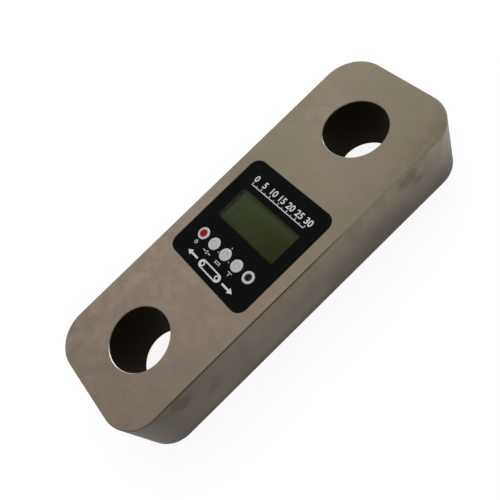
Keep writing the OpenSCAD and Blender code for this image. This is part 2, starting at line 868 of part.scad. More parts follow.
module gauge_cable() {
    header = on_board(gauge_header_share);
    header_z = board_bottom - header_h;
    run_z = (floor_top + header_z) / 2;
    start_x = well_r * seal_hole_share;
    color([0.35, 0.35, 0.36]) wire(rounded_path([
        [start_x, 0, floor_top - seal_t],
        [start_x, 0, run_z],
        [header[0], header[1], run_z],
        [header[0], header[1], header_z]
    ], (run_z - floor_top) / 2), cable_r, [1, 0, 0]);
}

// Battery

module battery_holder() {
    side_h = cell_d * holder_side_share;
    slot_w = tab_w + 2 * seat_gap;
    slot_top = tab_z + contact_t + seat_gap;
    color(black_plastic) difference() {
        translate([0, 0, holder_floor]) {
            translate([0, 0, holder_t]) hanging_block(holder_w, holder_l, holder_t);
            for (y = [-1, 1]) translate([0, y * (holder_l - holder_wall) / 2, 0])
                hanging_block(holder_w, holder_wall, holder_end_h);
            for (x = [-1, 1]) translate([x * (holder_w - holder_wall) / 2, 0, 0])
                hanging_block(holder_wall, holder_l, side_h);
        }
        for (y = [-1, 1]) translate([0, y * cell_l * holder_screw_share, holder_floor])
            mirror([0, 0, 1]) countersunk_hole(holder_t);
        for (x = [-1, 1]) translate([x * cell_pitch / 2 - slot_w / 2, -holder_l / 2 - cut, 0])
            cube([slot_w, holder_wall + 2 * cut, slot_top]);
    }
}

module holder_screws() {
    color(bright_metal) for (y = [-1, 1])
        translate([0, y * cell_l * holder_screw_share, holder_floor])
            mirror([0, 0, 1]) countersunk_screw(holder_screw_l);
}

// Cell along y, its button towards +y and its middle at the origin
module battery_cell() {
    can_l = cell_l - button_h;
    cell_r = cell_d / 2;
    color([0.12, 0.35, 0.62]) rotate([-quarter_turn, 0, 0]) translate([0, 0, -cell_l / 2])
        rotate_extrude($fn = round_fn) polygon([
            [0, 0], [cell_r - cell_edge, 0], [cell_r, cell_edge], [cell_r, can_l - cell_edge],
            [cell_r - cell_edge, can_l], [button_r, can_l], [button_r, cell_l], [0, cell_l]
        ]);
}

module battery_cell_left() {
    translate([-cell_pitch / 2, battery_spring_l / 2, cell_z]) battery_cell();
}

module battery_cell_right() {
    translate([cell_pitch / 2, -battery_spring_l / 2, cell_z])
        rotate(2 * quarter_turn) battery_cell();
}

module battery_springs() {
    color(bright_metal) for (side = [-1, 1])
        translate([side * cell_pitch / 2, side * bay_l / 2, cell_z])
            rotate([side * quarter_turn, 0, 0]) coil(battery_spring_r, battery_spring_wire_r,
                battery_spring_l, battery_spring_turns);
}

module battery_contacts() {
    tab_l = (holder_l - bay_l) / 2 + tab_reach;
    color(bright_metal) {
        for (x = [-1, 1]) translate([x * cell_pitch / 2, -bay_l / 2, 0]) {
            translate([0, -contact_t / 2, holder_floor])
                hanging_block(contact_w, contact_t, contact_h);
            translate([-tab_w / 2, -tab_l, tab_z]) cube([tab_w, tab_l, contact_t]);
        }
        translate([0, (bay_l + contact_t) / 2, holder_floor])
            hanging_block(cell_pitch + contact_w, contact_t, contact_h);
    }
}

module battery_pad() {
    color([0.3, 0.3, 0.32]) translate([0, 0, pad_top])
        hanging_block(2 * (cell_pitch - pad_inset), cell_l - 2 * pad_end_inset, pad_t);
}

module wire_grommet() {
    color(rubber) translate([bore_x, bore_y, floor_bottom]) difference() {
        union() {
            cylinder(r = bore_r - seat_gap, h = floor_t, $fn = round_fn);
            translate([0, 0, floor_t])
                cylinder(r = bore_r + grommet_lip, h = grommet_lip_t, $fn = round_fn);
        }
        round_hole(grommet_hole_r, floor_t + grommet_lip_t);
    }
}

// Wire from a contact's tab, past the holder's end, up through the grommet, to the header
module battery_wire(side, lane) {
    start_x = side * cell_pitch / 2;
    lane_y = -(holder_l + tab_reach) / 2 - wire_lead - wire_bend - lane * wire_lane;
    rise_x = bore_x - side * wire_pitch / 2;
    low_z = tab_z - wire_r;
    high_z = board_bottom - header_h / 2;
    wire(rounded_path([
        [start_x, -(holder_l + tab_reach) / 2, low_z],
        [start_x, lane_y, low_z],
        [rise_x, lane_y, low_z],
        [rise_x, bore_y, low_z],
        [rise_x, bore_y, high_z],
        [rise_x, bore_y + header_run - header_l / 2, high_z]
    ], wire_bend), wire_r, [0, 0, 1]);
}

module battery_wire_red() {
    color([0.7, 0.05, 0.05]) battery_wire(1, 1);
}

module battery_wire_black() {
    color([0.05, 0.05, 0.05]) battery_wire(-1, 0);
}

// Back cover and what fastens it

module back_gasket() {
    translate([0, 0, cover_top]) ledge_gasket();
}

module back_cover() {
    color([0.6, 0.58, 0.54]) translate([0, 0, cover_sink]) difference() {
        rounded_slab(panel_w, panel_l, cover_t, panel_r);
        at_each(ledge_screws()) mirror([0, 0, 1]) countersunk_hole(cover_t);
    }
}

module back_cover_screws() {
    color(bright_metal) at_each(ledge_screws())
        translate([0, 0, cover_sink]) mirror([0, 0, 1]) countersunk_screw(ledge_screw_l);
}

load_body();
front_panel();
panel_overlay();
panel_gasket();
panel_screws();
window_lens();
window_gasket();
lcd_bezel();
lcd_glass();
lcd_backlight();
zebra_strips();
main_board();
board_standoffs();
board_screws();
processor_chip();
amplifier_chip();
board_capacitors();
radio_module();
radio_shield();
antenna_coil();
switch_housings();
power_key_cap();
power_key_dot();
power_key_plunger();
power_key_spring();
zero_key_cap();
zero_key_plunger();
zero_key_spring();
unit_key_cap();
unit_key_plunger();
unit_key_spring();
peak_key_cap();
peak_key_plunger();
peak_key_spring();
socket_ring_nut();
socket_body();
socket_pin();
socket_terminals();
gauge_header();
battery_header();
front_gauges();
back_gauges();
front_gauge_seal();
back_gauge_seal();
gauge_cable();
wire_grommet();
battery_wire_red();
battery_wire_black();
battery_holder();
holder_screws();
battery_cell_left();
battery_cell_right();
battery_springs();
battery_contacts();
battery_pad();
back_gasket();
back_cover();
back_cover_screws();
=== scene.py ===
import json
import math

import bmesh
import bpy
from mathutils import Matrix, Quaternion, Vector


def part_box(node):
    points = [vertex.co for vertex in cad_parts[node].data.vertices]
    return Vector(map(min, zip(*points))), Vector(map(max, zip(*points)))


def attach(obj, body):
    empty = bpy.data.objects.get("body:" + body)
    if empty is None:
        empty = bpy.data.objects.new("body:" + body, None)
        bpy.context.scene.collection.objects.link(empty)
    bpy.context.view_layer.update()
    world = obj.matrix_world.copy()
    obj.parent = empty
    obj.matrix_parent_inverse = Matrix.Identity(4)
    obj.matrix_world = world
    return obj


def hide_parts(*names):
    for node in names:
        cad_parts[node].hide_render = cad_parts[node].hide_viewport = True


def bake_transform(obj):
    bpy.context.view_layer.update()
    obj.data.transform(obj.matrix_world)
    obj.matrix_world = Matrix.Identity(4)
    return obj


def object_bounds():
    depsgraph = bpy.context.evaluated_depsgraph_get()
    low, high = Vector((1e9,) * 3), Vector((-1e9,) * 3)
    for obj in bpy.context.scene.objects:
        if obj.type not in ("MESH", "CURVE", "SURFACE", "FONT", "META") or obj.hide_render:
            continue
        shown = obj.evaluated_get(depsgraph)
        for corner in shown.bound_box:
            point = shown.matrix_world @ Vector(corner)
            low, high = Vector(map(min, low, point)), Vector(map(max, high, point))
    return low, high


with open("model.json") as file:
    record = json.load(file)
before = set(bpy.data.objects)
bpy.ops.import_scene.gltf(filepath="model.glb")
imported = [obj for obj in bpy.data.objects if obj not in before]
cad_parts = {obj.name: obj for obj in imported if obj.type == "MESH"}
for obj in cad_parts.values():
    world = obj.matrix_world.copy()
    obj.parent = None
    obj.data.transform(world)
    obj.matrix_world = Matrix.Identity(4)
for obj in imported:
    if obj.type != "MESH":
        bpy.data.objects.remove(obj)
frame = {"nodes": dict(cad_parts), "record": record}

cad_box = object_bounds()
nodes = frame["nodes"]
mounts = {mount["name"]: mount for mount in frame["record"]["mounts"]}


# Steel link
# One block of alloy steel, milled all over, ground by hand along its sides and plated with satin
# nickel. Both eyes are bored right through, their walls blackened, and their mouths are broken by
# a chamfer with a fine polish. The bores' near-black is partly that oxide and partly painted
# shade, and the bright stretch on one side of each mouth is a painted highlight. The face and
# sides carry painted shade and highlights too, marked where they are made.

mm = 0.001


class Signal:
    """One socket in a material's nodes, so that shader maths reads as Python."""

    def __init__(self, tree, socket):
        self.tree = tree
        self.socket = socket

    def node(self, kind, settings=None, values=None, out=0):
        """Adds a node, makes its settings first, then sets or links its sockets."""
        made = self.tree.nodes.new("ShaderNode" + kind)
        for name, value in (settings or {}).items():
            setattr(made, name, value)
        for name, value in (values or {}).items():
            if isinstance(value, Signal):
                self.tree.links.new(value.socket, made.inputs[name])
            else:
                made.inputs[name].default_value = value
        return Signal(self.tree, made.outputs[out])

    def math(self, operation, *values):
        return self.node("Math", {"operation": operation}, dict(enumerate(values)))

    def __add__(self, other):
        return self.math("ADD", self, other)

    def __radd__(self, other):
        return self.math("ADD", other, self)

    def __sub__(self, other):
        return self.math("SUBTRACT", self, other)

    def __rsub__(self, other):
        return self.math("SUBTRACT", other, self)

    def __mul__(self, other):
        return self.math("MULTIPLY", self, other)

    def __rmul__(self, other):
        return self.math("MULTIPLY", other, self)

    def __pow__(self, other):
        return self.math("POWER", self, other)

    def __abs__(self):
        return self.math("ABSOLUTE", self)

    def wave(self, pitch):
        """Even swell from 0 to 1 that repeats every pitch."""
        return 0.5 + 0.5 * self.math("SINE", self * (2 * math.pi / pitch))

    def step(self, start, end):
        """Smooth rise from 0 at start to 1 at end, or fall where end is the lower."""
        return self.node("MapRange", {"interpolation_type": "SMOOTHSTEP"},
                         {"Value": self, "From Min": start, "From Max": end})

    def blend(self, low, high):
        """Colour that goes from low to high as this goes from 0 to 1."""
        return self.node("Mix", {"data_type": "RGBA"}, {0: self, 6: low, 7: high}, out=2)

    def axes(self):
        """The x, y and z of a vector."""
        split = self.node("SeparateXYZ", values={0: self})
        return [Signal(self.tree, socket) for socket in split.socket.node.outputs]

    def facing(self):
        """The x, y and z of the surface's own direction."""
        return self.node("TexCoord", out="Normal").axes()

    def grain(self, size, stretch=(1.0, 1.0, 1.0), detail=3.0, roughness=0.5):
        """Noise from 0 to 1 with features of that size, longer where stretch is more."""
        spread = self.node("Mapping", values={
            "Vector": self, "Scale": [1 / (size * share) for share in stretch]})
        return spread.node("TexNoise", values={
            "Vector": spread, "Scale": 1.0, "Detail": detail, "Roughness": roughness})

    def cells(self, size, feature="F1"):
        """Distance within cells of that size, from their middle or from their edge."""
        return self.node("TexVoronoi", {"feature": feature},
                         {"Vector": self, "Scale": 1 / size}, out="Distance")

    def relief(self, depth):
        """Surface direction for a height from 0 to 1 that is depth millimetres deep."""
        return self.node("Bump", values={"Height": self, "Distance": depth * mm, "Strength": 1.0})

    def shade(self, **sockets):
        """Sets or links the sockets of the material's surface shader."""
        shader = self.tree.nodes["Principled BSDF"]
        for name, value in sockets.items():
            socket = shader.inputs[name.replace("_", " ")]
            if isinstance(value, Signal):
                self.tree.links.new(value.socket, socket)
            else:
                socket.default_value = value


def new_finish(name):
    """New material, and the place on its piece in millimetres."""
    material = bpy.data.materials.new(name)
    material.use_nodes = True
    tree = material.node_tree
    place = Signal(tree, tree.nodes.new("ShaderNodeTexCoord").outputs["Object"])
    return material, place.node("VectorMath", {"operation": "SCALE"}, {0: place, "Scale": 1 / mm})


def paint(*levels):
    """Colour from its red, green and blue as a screen shows them, 0 to 255."""
    return tuple(((level / 255 + 0.055) / 1.055) ** 2.4 if level > 10 else level / 255 / 12.92
                 for level in levels) + (1.0,)


def dress(material, *names):
    """Gives construction nodes their finish."""
    for name in names:
        nodes[name].material_slots[0].material = material


link_width, link_length, link_depth = [(cad_box[1][i] - cad_box[0][i]) / mm for i in range(3)]

# Each stain's place along the link, its height, its radius and its strength.
stains = [(-141.0, 55.0, 9.5, 0.8), (126.0, 54.0, 8.5, 0.5), (138.0, 45.0, 3.0, 0.4),
          (-112.0, 37.0, 5.0, 0.5)]
ragged_depth = 26.0

# Millimetres past a radius, or below the front face, where a tone ends and where it is full.
stain_end, stain_full = 6.0, -3.0
bore_dark_end, bore_dark_full = 0.4, 0.1
mouth_end, mouth_full = 1.8, 1.2
edge_shade_end, edge_shade_full = 3.2, 1.0

# The way that the painted highlight on each mouth's chamfer faces.
gleam_x, gleam_y = -0.13, 0.99

steel, place = new_finish("satin_nickel_steel")
x, y, z = place.axes()
facing = place.facing()
level = abs(facing[2])
wall = level.step(0.45, 0.3)
bevel = level.step(0.4, 0.6) * level.step(0.97, 0.9)
across = x * (1 / link_width)
along = y * (1 / link_length)
upward = z * (1 / link_depth)
towards_head = along.step(-0.45, 0.3)
towards_right = across.step(-0.55, 0.6)
towards_front = upward.step(0.1, 0.95)
floor_contact_shade = upward.step(0.22, 0.05)
head_low = upward.step(0.5, 0.15) * along.step(0.2, 0.3)
head_end = along.step(0.33, 0.44)
foot_end = along.step(-0.36, -0.42)
foot_wall = facing[1].step(-0.25, -0.8)
foot_corner = facing[1].step(-0.1, -0.35) * facing[0].step(0.1, 0.35)
right_edge_shade = across.step(0.25, 0.5) * along.step(0.08, 0.35)
under_edge = z.step(link_depth - edge_shade_end, link_depth - edge_shade_full) * along.step(0.1, -0.05)

cloud = place.grain(75, detail=4.0)
haze = place.grain(22, detail=5.0)
# Random cloud, darkened towards the head as painted shade.
tone = (cloud * 0.9 + 0.45 - 0.6 * towards_head).step(0.1, 0.75)
face = tone.blend(paint(119, 117, 95), paint(150, 134, 119))
face = haze.step(0.35, 0.7).blend(face, tone.blend(paint(126, 121, 100), paint(143, 129, 114)))
# Painted shade: the face darkens towards the right edge, and more so near that edge in the head
# half.
face = (0.4 * towards_right).blend(face, paint(104, 95, 78))
face = (right_edge_shade * (0.5 + 0.3 * head_end)).blend(face, paint(98, 90, 70))
mottle = place.grain(11, detail=4.0, roughness=0.62).step(0.36, 0.64)
face = (0.5 * mottle).blend(face, paint(131, 114, 100))
pits = place.cells(26).step(0.03, 0.015)
face = (0.4 * pits).blend(face, paint(74, 66, 56))

# The sides are darker than the face, partly from their ground finish and partly as painted shade.
# They darken towards the bottom as painted shade, and near the front at the head's rounded corner
# they are lighter as a painted highlight.
head_side = towards_front.blend(paint(83, 72, 58), paint(131, 121, 101))
head_side = (0.7 * head_end * towards_front).blend(head_side, paint(152, 143, 126))
side = towards_head.blend(paint(95, 83, 71), head_side)
rub = place.grain(16, (1.0, 1.0, 2.2), detail=3.0).step(0.42, 0.68)
side = (0.35 * rub).blend(side, paint(86, 75, 70))
wipe = place.grain(44, detail=2.0).step(0.45, 0.7)
side = (0.35 * wipe).blend(side, paint(126, 119, 105))
ragged = place.grain(13, detail=4.0, roughness=0.6) * ragged_depth - ragged_depth / 2
for stain_y, stain_z, stain_r, share in stains:
    reach = ((y - stain_y) ** 2.0 + (z - stain_z) ** 2.0) ** 0.5 + ragged
    stain = reach.step(stain_r + stain_end, stain_r + stain_full) * x.step(0.0, 1.0)
    side = (share * stain).blend(side, paint(69, 56, 42))
# Painted shadow low on the side, where it meets the floor.
side = (0.6 * floor_contact_shade).blend(side, paint(60, 50, 42))
side = (0.35 * head_low + 0.35 * foot_end + 0.4 * foot_wall).blend(side, paint(58, 49, 41))
# Painted shade on the side just under the front edge, from the middle towards the foot.
side = (0.35 * under_edge).blend(side, paint(66, 54, 44))

bore_oxide_and_shade = 0.0
mouth = 0.0
for name in ("upper_eye", "lower_eye"):
    centre = [value / mm for value in mounts[name]["pos_m"]]
    reach = ((x - centre[0]) ** 2.0 + (y - centre[1]) ** 2.0) ** 0.5
    radius = mounts[name]["dims"]["r_mm"]
    bore_oxide_and_shade = wall * reach.step(radius + bore_dark_end, radius + bore_dark_full) + bore_oxide_and_shade
    mouth = reach.step(radius + mouth_end, radius + mouth_full) + mouth
gleam = (gleam_x * facing[0] + gleam_y * facing[1]).step(0.45, 0.6)
polish_and_highlight = bevel * mouth * gleam
outer_chamfer = bevel * (1.0 - mouth)
# Near-black of the bore walls: partly black oxide, partly painted shade.
oxide_and_shade_tone = haze.blend(paint(30, 22, 12), paint(54, 42, 25))

lines = place.grain(0.35, (1.0, 60.0, 1.0), detail=2.0)
pores = place.grain(1.6, detail=4.0, roughness=0.7)
colour = wall.blend(face, side)
# The outer chamfer's colour is painted highlight and shade: light towards the head, dark towards
# the foot, with a middle tone where it faces -x and at the foot's corner and end.
chamfer_light_tone = along.step(0.0, 0.2).blend(paint(58, 42, 30), paint(154, 147, 130))
chamfer_light_tone = facing[0].step(0.3, -0.2).blend(chamfer_light_tone, paint(84, 78, 68))
for mark in (foot_corner, 0.5 * foot_end):
    chamfer_light_tone = mark.blend(chamfer_light_tone, paint(112, 101, 88))
colour = (0.75 * outer_chamfer).blend(colour, chamfer_light_tone)
colour = (lines.step(0.5, 0.9) * 0.10).blend(colour, paint(92, 86, 76))
colour = (pores.step(0.45, 0.8) * 0.12).blend(colour, paint(100, 92, 80))
# Painted highlight on one side of each mouth's chamfer.
colour = polish_and_highlight.blend(colour, paint(244, 241, 235))
colour = bore_oxide_and_shade.blend(colour, oxide_and_shade_tone)
place.shade(
    Base_Color=colour,
    Metallic=0.62 + 0.38 * bore_oxide_and_shade - 0.3 * polish_and_highlight,
    Roughness=0.40 + 0.12 * haze - 0.3 * polish_and_highlight + 0.06 * wall + 0.36 * bore_oxide_and_shade,
    Normal=(lines * 0.6 + pores * 0.4).relief(0.012),
)
dress(steel, "load_body")


# Strain gauges
# Two foil grids are bonded in each well, one along the link and one across it. A thin steel
# disc seals each well, and one cable leads from the front disc to the circuit board.

foil_pitch = 0.5
turning_pitch = 0.7

foil, place = new_finish("gauge_foil")
grid = place.axes()[0].wave(foil_pitch).step(0.35, 0.65)
place.shade(
    Base_Color=grid.blend(paint(196, 148, 62), paint(150, 118, 84)),
    Metallic=0.25 + 0.6 * grid,
    Roughness=0.42 + 0.2 * place.grain(1.2),
    Normal=grid.relief(0.01),
)
dress(foil, "front_gauges", "back_gauges")

disc_steel, place = new_finish("disc_steel")
x, y = place.axes()[:2]
turned = ((x ** 2.0 + y ** 2.0) ** 0.5).wave(turning_pitch)
place.shade(
    Base_Color=place.grain(9).blend(paint(172, 172, 170), paint(196, 195, 192)),
    Metallic=0.9,
    Roughness=0.28 + 0.14 * place.grain(3),
    Normal=turned.relief(0.006),
)
dress(disc_steel, "front_gauge_seal", "back_gauge_seal")

cable_jacket, place = new_finish("cable_jacket")
place.shade(
    Base_Color=place.grain(5).blend(paint(92, 93, 97), paint(108, 109, 113)),
    Roughness=0.5 + 0.15 * place.grain(1.5),
    Normal=place.grain(0.4).relief(0.02),
)
dress(cable_jacket, "gauge_cable")


# Battery
# Two rechargeable cells in heat-shrunk sleeves lie in a moulded tray, which is screwed
# through its floor into the steel. Coil springs press each cell on its contact, and a foam
# pad on the cover holds both down.

moulded_black = paint(27, 28, 30), paint(35, 36, 38)

tray_plastic, place = new_finish("moulded_black")
pebble = place.grain(0.35, detail=2.0)
place.shade(
    Base_Color=place.grain(14).blend(*moulded_black),
    Roughness=0.46 + 0.14 * pebble,
    Normal=pebble.relief(0.02),
)
dress(tray_plastic, "battery_holder", "front_panel", "battery_wire_black")

sleeve, place = new_finish("cell_sleeve")
end = abs(place.facing()[1]).step(0.6, 0.8)
wrinkle = place.grain(2.5, (1.0, 4.0, 1.0), detail=3.0)
place.shade(
    Base_Color=end.blend(wrinkle.blend(paint(36, 92, 158), paint(46, 106, 172)),
                         paint(180, 180, 178)),
    Metallic=0.85 * end,
    Roughness=0.26 + 0.14 * wrinkle,
    Normal=wrinkle.relief(0.05),
)
dress(sleeve, "battery_cell_left", "battery_cell_right")

plated, place = new_finish("bright_plating")
place.shade(
    Base_Color=place.grain(6).blend(paint(186, 186, 188), paint(206, 206, 208)),
    Metallic=0.95,
    Roughness=0.2 + 0.16 * place.grain(1.8),
    Normal=place.grain(0.6, detail=2.0).relief(0.008),
)
dress(plated, "battery_springs", "battery_contacts", "radio_shield")

foam, place = new_finish("closed_cell_foam")
bubble = place.cells(0.9)
place.shade(
    Base_Color=bubble.step(0.1, 0.7).blend(paint(62, 62, 65), paint(98, 98, 101)),
    Roughness=0.92 - 0.08 * bubble,
    Normal=bubble.relief(0.18),
)
dress(foam, "battery_pad")

red_plastic, place = new_finish("red_insulation")
place.shade(
    Base_Color=place.grain(4).blend(paint(168, 16, 26), paint(184, 24, 32)),
    Roughness=0.34 + 0.12 * place.grain(1.5),
    Normal=place.grain(0.5).relief(0.01),
)
dress(red_plastic, "battery_wire_red")

rubber, place = new_finish("black_rubber")
bloom = place.grain(7)
place.shade(
    Base_Color=bloom.blend(paint(36, 36, 37), paint(50, 50, 50)),
    Roughness=0.72 + 0.14 * bloom,
    Normal=place.grain(0.5, detail=4.0).relief(0.03),
)
dress(rubber, "wire_grommet", "back_gasket", "panel_gasket")


# Back cover
# A brushed steel plate sunk just below the back face, on a rubber gasket. Eight countersunk
# screws with hexagon sockets hold it, and eight more hold the front panel the same way.

thread_pitch = 0.5

cover_steel, place = new_finish("brushed_cover")
brushed = place.grain(0.3, (70.0, 1.0, 1.0), detail=2.0)
smear = place.grain(34, (1.6, 1.0, 1.0), detail=4.0)
place.shade(
    Base_Color=(0.5 * brushed + 0.5 * smear).blend(paint(138, 132, 122), paint(164, 157, 146)),
    Metallic=0.8,
    Roughness=0.34 + 0.14 * smear,
    Normal=brushed.relief(0.02),
)
dress(cover_steel, "back_cover")

screw_steel, place = new_finish("turned_screw_steel")
thread = place.axes()[2].wave(thread_pitch) * abs(place.facing()[2]).step(0.3, 0.1)
place.shade(
    Base_Color=place.grain(3).blend(paint(126, 124, 120), paint(158, 156, 152)),
    Metallic=0.85,
    Roughness=0.3 + 0.16 * place.grain(1.2),
    Normal=thread.relief(0.12),
)
dress(screw_steel, "back_cover_screws", "panel_screws", "holder_screws", "board_screws")


# Circuit board
# Glass laminate with green solder mask and gold pads, on four brass standoffs. It carries
# the converter and processor chips, three sleeved capacitors, the radio with its shield
# and coil, and white headers for the gauge cable and the battery wires.

board_green, place = new_finish("solder_mask")
broad = abs(place.facing()[2]).step(0.4, 0.6)
track = place.cells(5.5, "DISTANCE_TO_EDGE").step(0.07, 0.05)
pad = place.cells(3.6).step(0.16, 0.13)
mask_colour = track.blend(paint(16, 76, 44), paint(34, 108, 62))
place.shade(
    Base_Color=broad.blend(paint(168, 158, 112), pad.blend(mask_colour, paint(206, 172, 92))),
    Metallic=0.8 * pad * broad,
    Roughness=0.3 + 0.1 * place.grain(4) + 0.25 * (1.0 - broad),
    Normal=(track + pad).relief(0.03),
)
dress(board_green, "main_board")

radio_blue, place = new_finish("radio_board_blue")
pad = place.cells(1.9).step(0.2, 0.16)
place.shade(
    Base_Color=pad.blend(place.grain(5).blend(paint(22, 44, 104), paint(28, 54, 120)),
                         paint(204, 172, 96)),
    Metallic=0.8 * pad,
    Roughness=0.32 + 0.1 * place.grain(3),
    Normal=pad.relief(0.03),
)
dress(radio_blue, "radio_module")

brass, place = new_finish("turned_brass")
tarnish = place.grain(5)
place.shade(
    Base_Color=tarnish.blend(paint(176, 142, 74), paint(206, 174, 100)),
    Metallic=0.95,
    Roughness=0.26 + 0.16 * tarnish,
    Normal=place.grain(0.4, (4.0, 4.0, 0.5)).relief(0.01),
)
dress(brass, "board_standoffs", "socket_terminals")

chip_epoxy, place = new_finish("chip_epoxy")
speck = place.grain(0.3, detail=2.0)
place.shade(
    Base_Color=speck.blend(paint(28, 28, 30), paint(44, 44, 46)),
    Roughness=0.55 + 0.16 * speck,
    Normal=speck.relief(0.015),
)
dress(chip_epoxy, "processor_chip", "amplifier_chip", "switch_housings")

capacitor_sleeve, place = new_finish("capacitor_sleeve")
end = abs(place.facing()[2]).step(0.6, 0.8)
place.shade(
    Base_Color=end.blend(place.grain(5).blend(paint(38, 42, 82), paint(48, 52, 96)),
                         paint(176, 176, 178)),
    Metallic=0.85 * end,
    Roughness=0.3 + 0.14 * place.grain(2),
    Normal=place.grain(0.8).relief(0.01),
)
dress(capacitor_sleeve, "board_capacitors")

copper, place = new_finish("bare_copper")
place.shade(
    Base_Color=place.grain(3).blend(paint(178, 104, 68), paint(206, 132, 90)),
    Metallic=0.95,
    Roughness=0.3 + 0.14 * place.grain(1),
    Normal=place.grain(0.4).relief(0.006),
)
dress(copper, "antenna_coil")

white_nylon, place = new_finish("white_nylon")
place.shade(
    Base_Color=place.grain(6).blend(paint(224, 219, 202), paint(236, 232, 216)),
    Roughness=0.42 + 0.12 * place.grain(2),
    Normal=place.grain(0.6).relief(0.01),
)
dress(white_nylon, "gauge_header", "battery_header", "power_key_plunger", "zero_key_plunger",
      "unit_key_plunger", "peak_key_plunger")


# Display
# A reflective liquid crystal glass lies over a milky light guide in a grey frame with a grey
# foam seal, and has a striped rubber contact strip along each long edge. Switched off, it
# shows a bare olive ground that is greener to the left.

# Millimetres from the glass's top and left edges where its paler tone ends and is full; the paler
# tone is painted light that lifts the frame's shadow.
top_pale_end, top_pale_full = 22.0, 2.0
left_pale_end, left_pale_full = 10.0, 3.0
zebra_pitch = 0.4

glass, place = new_finish("display_glass")
x, y = place.axes()[:2]
right, top = [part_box("lcd_glass")[1][i] / mm for i in range(2)]
ground = x.step(-right, right).blend(paint(61, 73, 45), paint(51, 54, 24))
# Painted light near the top and left edges, against the shadow of the frame.
paler = 0.27 * y.step(top - top_pale_end, top - top_pale_full)
paler = 0.42 * x.step(left_pale_end - right, left_pale_full - right) + paler
ground = paler.blend(ground, paint(112, 124, 92))
mottle = place.grain(14, detail=3.0)
place.shade(
    Base_Color=(0.3 * mottle).blend(ground, paint(49, 54, 28)),
    Roughness=0.5 + 0.1 * mottle,
    Specular_IOR_Level=0.04,
)
dress(glass, "lcd_glass")

# The frame's and seal's pale grey partly stands in for a painted reflection seen along the
# window's edge.
frame_grey, place = new_finish("frame_grey")
place.shade(
    Base_Color=place.grain(6).blend(paint(84, 87, 80), paint(94, 97, 90)),
    Roughness=0.6 + 0.14 * place.grain(1.5),
    Normal=place.grain(0.5).relief(0.02),
)
dress(frame_grey, "lcd_bezel", "window_gasket")

light_guide, place = new_finish("light_guide")
place.shade(
    Base_Color=place.cells(0.8).step(0.1, 0.5).blend(paint(236, 238, 230), paint(216, 219, 210)),
    Roughness=0.35 + 0.1 * place.grain(3),
)
dress(light_guide, "lcd_backlight")

zebra, place = new_finish("zebra_rubber")
stripe = place.axes()[0].wave(zebra_pitch).step(0.4, 0.6)
place.shade(
    Base_Color=stripe.blend(paint(38, 34, 34), paint(176, 96, 108)),
    Roughness=0.55 + 0.1 * place.grain(2),
)
dress(zebra, "zebra_strips")


# Keys
# Four turned aluminium caps with a shallow dish and a rounded rim, blasted fine and
# anodised. The power key has a red insert. Each cap has a flange that the panel keeps in,
# and stands on the nylon plunger of its switch and on a light coil spring.

key_names = ("power", "zero", "unit", "peak")
cap_flange_reach = 0.9 * mm
cap_flange_t = 1.2 * mm
cap_stem_r = 2.5 * mm
cap_spring_gap = 0.01 * mm
cap_rim_r = 0.45 * mm
cap_dish_depth = 0.16 * mm
cap_dish_r = 3.6 * mm
cap_dish_floor_r = 1.9 * mm
cap_dish_steps = 8
spring_turns = 3.5
spring_wire_r = 0.25 * mm
spring_wire_sides = 10
spring_steps = 112
insert_gap = 0.05 * mm
insert_rim_r = 0.3 * mm
round_steps = 96
arc_steps = 6
smooth_bend = math.radians(32)
weld_gap = 0.0001 * mm


def centre_of(name):
    """Middle of the box round a construction node."""
    low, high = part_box(name)
    return (low + high) / 2


def mesh_piece(name, bm, material, body="root"):
    """Finishes a mesh, shaded smooth but for its sharp edges, as a piece on a body or on none."""
    bmesh.ops.recalc_face_normals(bm, faces=bm.faces)
    for face in bm.faces:
        face.smooth = True
    for edge in bm.edges:
        edge.smooth = edge.calc_face_angle(0) < smooth_bend
    mesh = bpy.data.meshes.new(name)
    bm.to_mesh(mesh)
    bm.free()
    mesh.materials.append(material)
    made = bpy.data.objects.new(name, mesh)
    bpy.context.scene.collection.objects.link(made)
    if body:
        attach(made, body)
    return made


def arc(centre_r, centre_z, radius, start, end):
    """Points of a round stretch of an outline, from one angle to another in degrees."""
    turns = [math.radians(start + (end - start) * i / arc_steps) for i in range(arc_steps + 1)]
    return [(centre_r + radius * math.cos(a), centre_z + radius * math.sin(a)) for a in turns]


def turned_piece(name, outline, centre, material, body="root"):
    """Solid of revolution whose outline gives its radius and height from point to point."""
    bm = bmesh.new()
    points = [bm.verts.new((centre.x + radius, centre.y, height)) for radius, height in outline]
    edges = [bm.edges.new(pair) for pair in zip(points, points[1:])]
    bmesh.ops.spin(bm, geom=points + edges, cent=centre, axis=(0, 0, 1), angle=2 * math.pi,
                   steps=round_steps, use_merge=True)
    bmesh.ops.remove_doubles(bm, verts=bm.verts, dist=weld_gap)
    return mesh_piece(name, bm, material, body)


silver, place = new_finish("blasted_silver")
level = abs(place.facing()[2])
rim = level.step(0.995, 0.96)
sparkle = place.cells(0.35).step(0.2, 0.06)
blast = place.grain(0.7, detail=5.0, roughness=0.8).step(0.3, 0.7)
frosted = (0.3 * sparkle + 0.7 * blast).blend(paint(156, 158, 159), paint(222, 224, 224))
slope = level.step(0.9998, 0.995) * (1.0 - rim)
frosted = (0.5 * slope).blend(frosted, paint(146, 148, 150))
# The rim's near-white is a painted highlight.
place.shade(
    Base_Color=(0.9 * rim).blend(frosted, paint(244, 246, 247)),
    Metallic=0.5,
    Roughness=0.44 + 0.14 * blast - 0.12 * rim,
    Normal=(0.5 * sparkle + 0.5 * blast).relief(0.02),
)

red_insert, place = new_finish("red_insert")
place.shade(
    Base_Color=place.grain(2.5).blend(paint(150, 2, 16), paint(164, 6, 24)),
    Roughness=0.46 + 0.1 * place.grain(1.2),
    Normal=place.grain(0.4).relief(0.006),
    Specular_IOR_Level=0.08,
)

